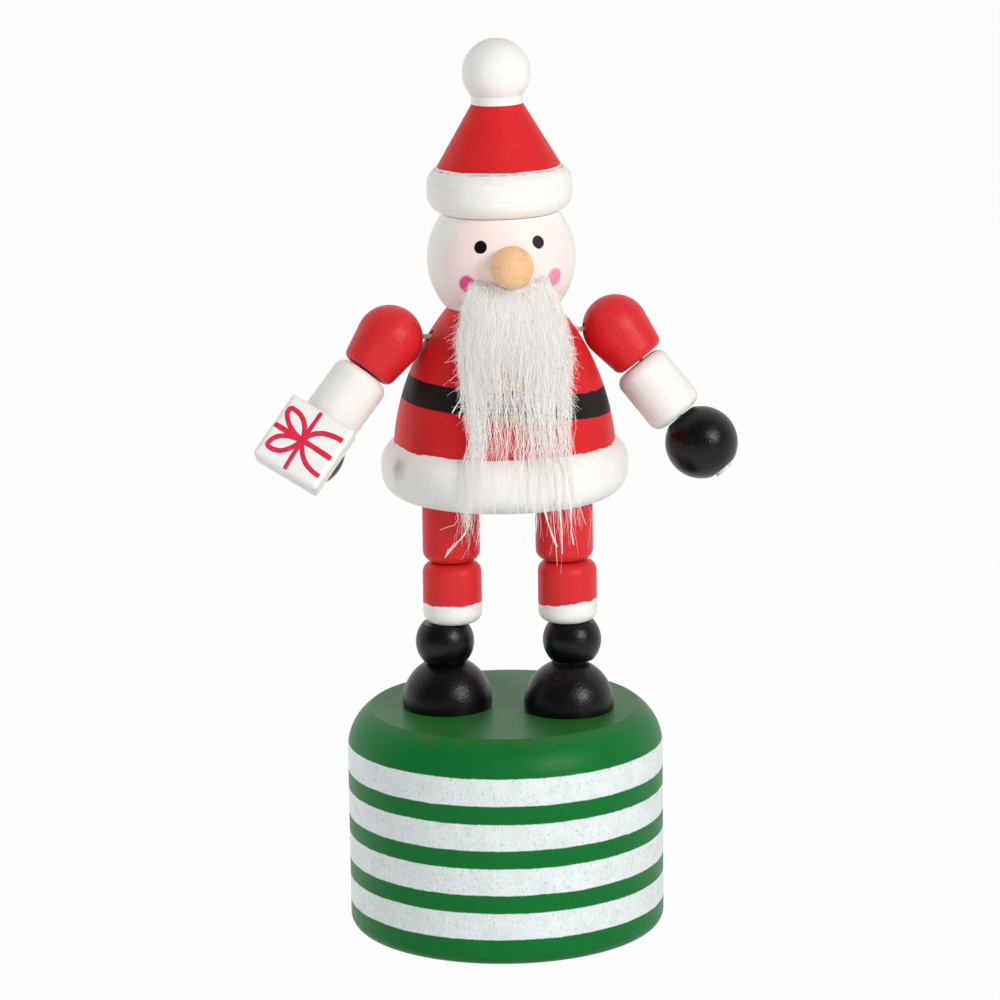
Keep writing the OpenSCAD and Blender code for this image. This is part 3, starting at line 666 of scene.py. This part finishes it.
# A strand falls from its root on the face, bulges, and lies down on the coat; an ending shapes its tip
def beardStrand(rootX, rootZ, tipShare, tipZ, layer, wave, phase, tone, thick, ending=()):
    path, last = [], beard["points"] - 1
    rootShare, rootRadius = beardShare(rootX, rootZ), ballRadius(rootZ)
    puff = 0.3 + 1.5 * layer
    crimp = 0.1 + 0.2 * abs(math.sin(phase * 7))
    for step in range(last + 1):
        t = step / last
        z = rootZ + (tipZ - rootZ) * t
        fall = rootZ - z
        x = beardX(rootShare + (tipShare - rootShare) * eased(fall, beard["spreadFall"]), z)
        swing = math.sin(phase + fall * 0.42) * (0.6 + 0.4 * math.sin(phase * 3 + fall * 0.13))
        x += wave * min(fall / beard["waveFall"], 1.0) * swing
        x += crimp * min(fall / beard["crimpFall"], 1.0) * math.sin(phase * 5 + fall * 1.9)
        free = rootRadius + 0.1 + puff * eased(fall, beard["puffFall"])
        held = free + (abs(frontY(0.0, beardRadius(z, layer))) - free) * eased(fall, beard["holdFall"])
        y = frontY(x, softMax(free, held) if step else free)
        lift = 0.25 * wave * math.sin(phase * 1.7 + fall * 0.55) * min(fall / 10, 1.0)
        taper = 1.0 if t < 0.6 or ending else 1.0 - 0.6 * (t - 0.6) / 0.4
        spot = faceFrame @ Vector((x, y - abs(lift), z))
        path.append((spot, thick * taper, min(fall / 1.6, 1.0), tone))
    for index, (x, z) in enumerate(ending):
        spot = faceFrame @ Vector((x, frontY(x, beardRadius(z, layer)), z))
        path.append((spot, thick * (1 - 0.3 * index / len(ending)), 1.0, tone))
    return path


def looseStrand(dice, x, z, radius, heading, length, curl, along):
    point = Vector((x, frontY(x, radius), z))
    bend = Vector((dice.uniform(-curl, curl), dice.uniform(-0.2, 0.2), -dice.uniform(0.1, 0.9)))
    path, tone, last = [], dice.uniform(0.3, 1.0), beard["loosePoints"] - 1
    for step in range(last + 1):
        t = step / last
        spot = point + heading * length * t + bend * length * beard["looseDroop"] * t * t
        path.append((faceFrame @ spot, beard["looseThick"] * (1 - 0.5 * t), along, tone))
    return path


# Short hairs that stand out at the sides of the beard
def frizzStrand(dice):
    frizz, side = beard["frizz"], dice.choice((-1, 1))
    z = frizz["top"] - frizz["reach"] * dice.random() ** 1.1
    x = beardX(side * dice.uniform(*frizz["share"]), z)
    cheek = ballRadius(104.5) * min((z - 90) / 8, 1.0)
    radius = max(solidRadius(z) + dice.uniform(*frizz["proud"]), cheek)
    heading = Vector((side * dice.uniform(0.15, 1.0), -dice.uniform(0.1, 0.5), -dice.uniform(-0.3, 1.4)))
    length = dice.uniform(0.4, 0.9 + 1.7 * dice.random() ** 2)
    return looseStrand(dice, x, z, radius, heading.normalized(), length, frizz["curl"], 1.0)


# Fuzz lying along the glued edge
def fuzzStrand(dice):
    fuzz, x = beard["fuzz"], dice.uniform(rootLeft, rootRight)
    z = blendBetween(beard["rootHigh"], x) - dice.uniform(0.0, fuzz["depth"])
    radius = ballRadius(z) + dice.uniform(*fuzz["proud"])
    heading = Vector((dice.uniform(-1.0, 1.0), -dice.uniform(0.0, 0.3), dice.uniform(-0.8, 0.9)))
    length = dice.uniform(*fuzz["length"])
    return looseStrand(dice, x, z, radius, heading.normalized(), length, fuzz["curl"], 0.3)


# Short curly hairs lying every way on the upper half
def cottonStrand(dice):
    cotton = beard["cotton"]
    z = cotton["top"] - cotton["reach"] * dice.random() ** 1.4
    x = beardX(dice.uniform(-0.96, 0.96), z)
    z = min(z, blendBetween(beard["rootHigh"], min(max(x, rootLeft), rootRight)) - 0.2)
    swing = dice.gauss(0, 0.75)
    heading = Vector((math.sin(swing), -dice.uniform(0.0, 0.25), -math.cos(swing)))
    overFace, overCoat = cotton["proud"]
    radius = max(ballRadius(z) + overFace * min((105.5 - z) / 4, 1.0), solidRadius(z) + overCoat)
    return looseStrand(dice, x, z, radius, heading, dice.uniform(*cotton["length"]), cotton["curl"], 0.9)


def rootPlace(dice, share):
    x = min(max(share * beard["rootSpan"] + dice.gauss(0, 0.8), rootLeft), rootRight)
    return x, blendBetween(beard["rootHigh"], x) - beard["rootDepth"] * dice.random() ** 1.6


def combGroup(dice, group):
    strands, left = [], group["count"]
    while left > 0:
        share = dice.uniform(*group["tip"])
        tipZ = dice.uniform(*group["low"])
        rootShare = min(max(share * 0.9 + dice.uniform(-0.3, 0.3), -1.0), 1.0)
        phase, layer = dice.uniform(0, 6.28), 1 - 0.75 * dice.random() ** 2.2
        wave = group["wave"] * dice.uniform(0.4, 1.3)
        clump = max(1, int(group["clump"] * dice.uniform(0.5, 1.5)))
        for each in range(min(clump, left)):
            rootX, rootZ = rootPlace(dice, rootShare)
            near = share + dice.gauss(0, group["spread"])
            strands.append(beardStrand(
                rootX, rootZ, near, tipZ + dice.gauss(0, 0.9),
                min(max(layer + dice.gauss(0, 0.07), 0), 1), wave, phase + dice.gauss(0, 0.25),
                dice.uniform(0.2, 1.0), beard["thick"] * dice.uniform(0.75, 1.25),
            ))
        left -= clump
    return strands


def combLock(dice, ending):
    loose = [(x + dice.gauss(0, 0.07), z + dice.gauss(0, 0.1)) for x, z in ending]
    startX, startZ = ending[0][0], ending[0][1] + beard["lockAbove"]
    share = beardShare(startX, startZ)
    rootX, rootZ = rootPlace(dice, share)
    return beardStrand(
        rootX, rootZ, share, startZ, 0.7 + dice.gauss(0, 0.05), 0.15, dice.uniform(0, 6.28), 0.9,
        beard["lockThick"], loose,
    )


def growBeard():
    dice = random.Random(beard["seed"])
    strands = []
    for group in beard["groups"]:
        strands += combGroup(dice, group)
    for ending in beard["locks"]:
        strands += [combLock(dice, ending) for each in range(beard["lockHairs"])]
    strands += [combLock(dice, ending) for ending in beard["wisps"]]
    for kind, grow in (("frizz", frizzStrand), ("fuzz", fuzzStrand), ("cotton", cottonStrand)):
        strands += [grow(dice) for each in range(beard[kind]["count"])]
    dice.shuffle(strands)
    return strands


hairPaint = paintHair()
strands = growBeard()
for part in range(beard["tufts"]):
    share, seed = strands[part::beard["tufts"]], beard["shakeSeed"] + part
    name = "beard_hair_%d" % (part + 1)
    tuft = sweep(name, share, hairPaint, beard["sides"], beard["shake"], seed, beard["flatness"])
    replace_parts(tuft, "beard")
    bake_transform(tuft)
print("stage: beard", len(strands), "strands")


# Twisted cord: three plies wound round a line
cord = {"radius": 0.58, "pitch": 3.2, "armRadius": 0.42, "armPitch": 2.4, "step": 0.25, "sides": 8}
cordPaint = paintCord()


def plies(line, radius, pitch):
    points = [Vector(point) for point in line]
    dense = []
    for start, end in zip(points, points[1:]):
        count = max(2, int((end - start).length / cord["step"]))
        dense += [start.lerp(end, step / count) for step in range(count)]
    dense.append(points[-1])
    paths, gone = [[], [], []], 0.0
    for index, point in enumerate(dense):
        before = dense[max(index - 1, 0)]
        ahead = (dense[min(index + 1, len(dense) - 1)] - before).normalized()
        side = ahead.cross(Vector((0.3, 0.9, 0.31))).normalized()
        other = ahead.cross(side)
        gone += (point - before).length
        for ply, path in enumerate(paths):
            angle = 2 * math.pi * (gone / pitch + ply / len(paths))
            spot = point + (side * math.cos(angle) + other * math.sin(angle)) * radius * 0.5
            path.append((spot, radius * 0.5, 1.0, 0.5))
    return paths


def cordPiece(name, line, radius=cord["radius"], pitch=cord["pitch"]):
    piece = sweep(name, plies(line, radius, pitch), cordPaint, cord["sides"])
    return piece


def headPoint(x, y, z):
    return headFrame @ Vector((x, y, z))


def torsoPoint(x, y, z):
    return torsoFrame @ Vector((x, y, z))


# Legs: a cord on each side, from the button through the beads and the coat up into the head
legs = {
    "left": {"x": (-9.05, -9.28, -7.98, -8.02), "shoeY": -0.6, "side": -1},
    "right": {"x": (10.15, 10.77, 10.14, 9.72), "shoeY": -3.2, "side": 1},
}
legLine = {
    "beadY": -1.2, "knot": 4.04, "drumTop": 35.0, "shoeTop": 42.3, "mouth": 43.1, "mouthTop": 43.25,
    "ankle": 46.3, "cuff": 49.43, "shin": 54.4, "knee": 59.33, "thigh": 64.55, "hipOverlap": 2.4,
    "neck": (2.6, -4), "neckUp": 29.85, "neckBlend": 1.5, "crown": (0.9, 8.66),
}


def stringLegs():
    y, top, foot = legLine["beadY"], legLine["drumTop"], legLine["knot"]
    for side, leg in legs.items():
        shoe, ankle, shin, thigh = leg["x"]
        shoeY, sign = leg["shoeY"], leg["side"]
        low = cordPiece(side + "_cord_base", [(shoe, shoeY, foot), (shoe, shoeY, top)])
        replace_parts(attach(low, "base"), side + "_cord")
        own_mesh(low)
        mouth = Vector((0.3 * shoe + 0.7 * ankle, 0.3 * shoeY + 0.7 * y, legLine["mouth"]))
        inShoe = Vector((shoe, shoeY, legLine["shoeTop"])).lerp(mouth, 0.85)
        inAnkle = Vector((ankle, y, legLine["ankle"]))
        inShin = Vector((shin, y, legLine["shin"]))
        inThigh = Vector((thigh, y, legLine["thigh"]))
        joints = (
            ("ankle", "base", "_ankle", [inShoe, mouth, (mouth.x, mouth.y, legLine["mouthTop"]), inAnkle]),
            ("shin", side + "_ankle", "_shin", [inAnkle, ((ankle + shin) / 2, y, legLine["cuff"]), inShin]),
            ("knee", side + "_shin", "_thigh", [inShin, ((shin + thigh) / 2, y, legLine["knee"]), inThigh]),
        )
        for name, below, above, line in joints:
            piece = cordPiece(side + "_cord_" + name, line)
            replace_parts(piece, side + "_cord")
            side + above
            line[0] * mm
            line[-1] * mm
            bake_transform(piece)
        across, front = legLine["neck"]
        waist = torsoPoint(sign * across, front, legLine["neckUp"])
        neck = headPoint(sign * across, front, 0)
        crown = headPoint(sign * legLine["crown"][0], 0, legLine["crown"][1])
        hip = Vector((thigh, y, stance["coatFoot"]))
        middle = hip.lerp(waist, 0.5)
        below = cordPiece(side + "_cord_thigh", [inThigh, hip, hip.lerp(waist, 0.07)])
        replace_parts(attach(below, side + "_thigh"), side + "_cord")
        above = cordPiece(side + "_cord_hip", [hip - Vector((0, 0, legLine["hipOverlap"])), hip, middle])
        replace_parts(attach(above, "torso"), side + "_cord")
        piece = cordPiece(side + "_cord_neck", [middle, waist, neck, crown])
        rise = Vector((0, 0, legLine["neckBlend"]))
        (neck + rise) * mm
        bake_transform(piece)
        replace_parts(piece, side + "_cord")


stringLegs()


# Arms: one elastic cord through the shoulders, held by pegs in the hands; heights are along each bead
armLine = {
    "shoulderOut": 17.5, "inUpper": -3.0, "elbow": -6.45, "inFore": -5.0, "wrist": -10.3, "inHand": 2.0,
}


def stringArms():
    up = stance["shoulder"][1]
    chest = torsoPoint(0, 0, up)
    for side, arm in armFrames.items():
        shoulder = torsoPoint(arms[side]["sign"] * armLine["shoulderOut"], 0, up)
        upper, fore, hand = arm["upper"], arm["fore"], arm["hand"]
        mouth = chest.lerp(shoulder, 0.9)
        inUpper, elbow = (upper @ Vector((0, 0, armLine[key])) for key in ("inUpper", "elbow"))
        inFore, wrist = (fore @ Vector((0, 0, armLine[key])) for key in ("inFore", "wrist"))
        inHand = hand @ Vector((0, 0, armLine["inHand"]))
        joints = (
            ("shoulder", "torso", "_upper_arm", [chest, mouth, upper.to_translation(), inUpper], 0.9),
            ("elbow", side + "_upper_arm", "_forearm", [inUpper, elbow, inFore], 0.0),
            ("wrist", side + "_forearm", "_hand", [inFore, wrist, inHand], 0.0),
        )
        for name, body, above, line, share in joints:
            piece = cordPiece(side + "_arm_cord_" + name, line, cord["armRadius"], cord["armPitch"])
            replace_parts(piece, "arm_cord")
            side + above
            line[0].lerp(line[1], share) * mm
            line[-1] * mm
            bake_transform(piece)


stringArms()


# Knots: the cord drawn into a trefoil, under the button and in the head
knots = {"steps": 72, "legUp": 3.1, "legSize": 0.55, "legRadius": 0.55, "crownSize": 0.75, "crownRadius": 0.6}


def tieKnot(name, centre, size, radius):
    path = []
    for step in range(knots["steps"] + 1):
        t = 2 * math.pi * step / knots["steps"]
        across = math.sin(t) + 2 * math.sin(2 * t), math.cos(t) - 2 * math.cos(2 * t)
        spot = Vector((*across, -1.1 * math.sin(3 * t)))
        path.append((Vector(centre) + spot * size, radius, 1.0, 0.5))
    return sweep(name, [path], cordPaint, cord["sides"])


for side, leg in legs.items():
    place = leg["x"][0], leg["shoeY"], knots["legUp"]
    knot = tieKnot(side + "_knot", place, knots["legSize"], knots["legRadius"])
    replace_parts(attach(knot, "button"), "cord_knots")
crownLow, crownHigh = (Vector(corner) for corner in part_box("crown_knot"))
knot = tieKnot("crown_knot_tied", (crownLow + crownHigh) / 2 / mm, knots["crownSize"], knots["crownRadius"])
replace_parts(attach(knot, "head"), "crown_knot")


# Spring: a steel coil with closed ends
spring = {"wire": 0.45, "turns": 8.0, "steps": 28, "sides": 10, "closed": 0.35}


def windSpring():
    low, high = [Vector(corner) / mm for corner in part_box("spring")]
    wire, turns = spring["wire"], spring["turns"]
    radius = (high.x - low.x) / 2 - wire
    middle = (low + high) / 2
    count, path = int(turns * spring["steps"]), []
    for step in range(count + 1):
        t = step / count
        angle = 2 * math.pi * turns * t
        climb = blendBetween(((0.0, 0.0), (1.0, 1.0)), t) * spring["closed"] + t * (1 - spring["closed"])
        z = low.z + wire + (high.z - low.z - 2 * wire) * climb
        spot = middle.x + radius * math.cos(angle), middle.y + radius * math.sin(angle), z
        path.append((spot, wire, 1.0, 0.5))
    coil = sweep("spring_coil", [path], paintSteel(), spring["sides"])
    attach(coil, "base")
    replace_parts(coil, "spring")
    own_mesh(coil)


windSpring()
print("stage: cords, knots and spring")


# Bow on the gift: six brush strokes of red paint, a few hundredths thick, by points across and up its front
bow = {
    "ribbonAcross": {
        "width": 0.45, "line": ((-5.35, 0.0), (-2.74, -0.04), (-0.17, -0.02), (2.44, -0.07), (5.2, -0.2)),
    },
    "ribbonAlong": {
        "width": 0.36, "line": ((-0.18, 5.3), (-0.21, 2.95), (-0.21, 0.28), (-0.13, -2.99), (0.01, -5.3)),
    },
    "loopUpper": {"width": 0.41, "line": (
        (-0.17, -0.02), (-0.65, 1.18), (-1.33, 2.25), (-2.31, 3.07), (-3.45, 3.45), (-4.51, 3.46),
        (-4.65, 2.7), (-4.26, 1.94), (-3.3, 1.04), (-1.96, 0.37), (-0.17, -0.02),
    )},
    "loopLeft": {"width": 0.41, "line": (
        (-0.17, -0.02), (-1.85, -0.4), (-3.23, -1.0), (-4.17, -2.0), (-4.42, -3.32), (-3.46, -3.56),
        (-2.12, -3.14), (-1.1, -2.01), (-0.54, -0.92), (-0.17, -0.02),
    )},
    "tailRight": {"width": 0.45, "line": (
        (-0.25, 0.09), (0.39, 1.32), (1.26, 2.19), (2.48, 2.78), (4.05, 3.08), (5.1, 3.11),
    )},
    "tailLow": {"width": 0.43, "line": (
        (-0.15, -0.34), (1.08, -1.91), (2.13, -2.75), (3.25, -3.22), (4.36, -3.44), (5.2, -3.49),
    )},
}
brush = {"steps": 7, "sides": 12, "wobble": 0.12, "layer": 0.02, "flat": 0.09, "end": 0.8}


def curveAt(p, q, r, s, t):
    bend, twist = 2 * p - 5 * q + 4 * r - s, 3 * q - p - 3 * r + s
    return 0.5 * (2 * q + (r - p) * t + bend * t * t + twist * t ** 3)


def throughPoints(points, steps):
    ends = [points[0]] + list(points) + [points[-1]]
    line = []
    for corners in zip(ends, ends[1:], ends[2:], ends[3:]):
        for step in range(steps):
            line.append([curveAt(*along, step / steps) for along in zip(*corners)])
    return line + [list(points[-1])]


def giftDepth(x, z):
    deep = 0.0
    for value in (x, z):
        over = min(max(abs(value) - gift["flat"], 0.0), gift["roundMost"])
        deep = max(deep, gift["round"] - math.sqrt(gift["round"] ** 2 - over * over))
    return deep - gift["front"]


def paintStrokes():
    paths = []
    for order, stroke in enumerate(bow.values()):
        line = throughPoints(stroke["line"], brush["steps"])
        path = []
        for index, (x, z) in enumerate(line):
            wobble = 1 + brush["wobble"] * noise.noise(Vector((x * 0.9, z * 0.9, 3.1 * order)))
            end = brush["end"] if index in (0, len(line) - 1) else 1.0
            path.append(((x, order * brush["layer"], z), stroke["width"] * wobble * end, 1.0, 0.5))
        paths.append(path)
    strokes = sweep("gift_bow", paths, paintBow(), brush["sides"])
    for vertex in strokes.data.vertices:
        x, y, z = vertex.co / mm
        vertex.co = (giftFrame @ Vector((x, giftDepth(x, z) + y * brush["flat"], z))) * mm
    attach(strokes, "left_hand")


paintStrokes()
print("stage: bow")


# Studio: white surround, soft key from the right and above
studio = {
    "key": {"place": (0.55, -0.6, 0.47), "size": 0.36, "power": 4.95, "colour": (1.0, 0.99, 0.97)},
    "fill": {"place": (-0.22, -0.82, 0.35), "size": 0.7, "power": 1.5, "colour": (0.98, 0.99, 1.0)},
    "back": {"place": (-0.62, 0.4, 0.25), "size": 0.6, "power": 2.3, "colour": (1.0, 1.0, 1.0)},
}
surround = {"level": 0.3, "mirrored": 0.12, "behind": 0.3}
ground = {"reach": 1.5, "colour": (0.9, 0.9, 0.9, 1), "share": 0.97}
pure = (1, 1, 1, 1)
aim = Vector((0, 0, 0.07))
for name, light in studio.items():
    data = bpy.data.lights.new(name, "AREA")
    data.shape, data.size, data.energy, data.color = "DISK", light["size"], light["power"], light["colour"]
    lamp = bpy.data.objects.new(name, data)
    lamp.location = light["place"]
    lamp.rotation_euler = (aim - Vector(light["place"])).to_track_quat("-Z", "Y").to_euler()
    bpy.context.scene.collection.objects.link(lamp)
    lamp.visible_glossy = name == "key"


# The camera, and gloss that looks past the figure, see white; gloss that looks forward sees a dim room
def paintSurround():
    world = bpy.data.worlds.new("surround")
    bpy.context.scene.world = world
    world.use_nodes = True
    tree = world.node_tree
    tree.nodes.clear()

    def add(kind, settings=None, values=None):
        return addNode(tree, kind, settings, values).outputs

    def calc(operation, one, other):
        return add("ShaderNodeMath", {"operation": operation}, {0: one, 1: other})[0]

    def between(factor, low, high):
        return add("ShaderNodeMix", {"data_type": "FLOAT"}, {"Factor": factor, "A": low, "B": high})[0]

    rays = add("ShaderNodeLightPath")
    heading = add("ShaderNodeSeparateXYZ", None, {0: add("ShaderNodeTexCoord")["Generated"]})["Y"]
    limits = {"Value": heading, "From Min": -surround["behind"], "From Max": surround["behind"]}
    mirrored = calc("MAXIMUM", rays["Is Glossy Ray"], rays["Is Transmission Ray"])
    backdrop = calc("MULTIPLY", mirrored, add("ShaderNodeMapRange", None, limits)[0])
    level = between(mirrored, surround["level"], surround["mirrored"])
    strength = between(calc("MAXIMUM", backdrop, rays["Is Camera Ray"]), level, 1.0)
    glow = add("ShaderNodeBackground", None, {"Color": pure, "Strength": strength})[0]
    add("ShaderNodeOutputWorld", None, {"Surface": glow})


def paintFloor():
    paint = Paint("floor")
    diffuse = paint.node("ShaderNodeBsdfDiffuse", None, {"Color": ground["colour"]})
    glow = paint.node("ShaderNodeEmission", None, {"Color": pure, "Strength": 1.0})
    kinds = ("Is Camera Ray", "Is Glossy Ray", "Is Transmission Ray")
    direct, mirrored, through = (paint.node("ShaderNodeLightPath", None, None, kind) for kind in kinds)
    seen = direct.calc("MAXIMUM", mirrored).calc("MAXIMUM", through)
    values = {0: seen * ground["share"], 1: diffuse, 2: glow}
    return paint.output(paint.node("ShaderNodeMixShader", None, values))


paintSurround()
mesh = bpy.data.meshes.new("floor")
corners = [(x * ground["reach"], y * ground["reach"], 0) for x, y in ((-1, -1), (1, -1), (1, 1), (-1, 1))]
mesh.from_pydata(corners, [], [(0, 1, 2, 3)])
mesh.materials.append(paintFloor())
floor = bpy.data.objects.new("floor", mesh)
bpy.context.scene.collection.objects.link(floor)

# Camera, fitted to the ellipses of the drum and the beads in the photo
sight = {
    "place": (-0.0002844, -0.6837605, 0.2185745), "right": (0.99990, -0.003028, -0.013812),
    "up": (0.014140, 0.214129, 0.976703), "back": (0.0, -0.976801, 0.214151), "lens": 160.39, "sensor": 36.0,
}
data = bpy.data.cameras.new("camera")
data.lens, data.sensor_width, data.clip_start, data.clip_end = sight["lens"], sight["sensor"], 0.05, 10.0
camera = bpy.data.objects.new("camera", data)
right, up, back = (Vector(sight[key]) for key in ("right", "up", "back"))
camera.matrix_world = Matrix.Translation(sight["place"]) @ Matrix((right, up, back)).transposed().to_4x4()
bpy.context.scene.collection.objects.link(camera)
bpy.context.scene.camera = camera
bpy.context.scene.view_settings.view_transform = "Standard"
print("stage: studio and camera")
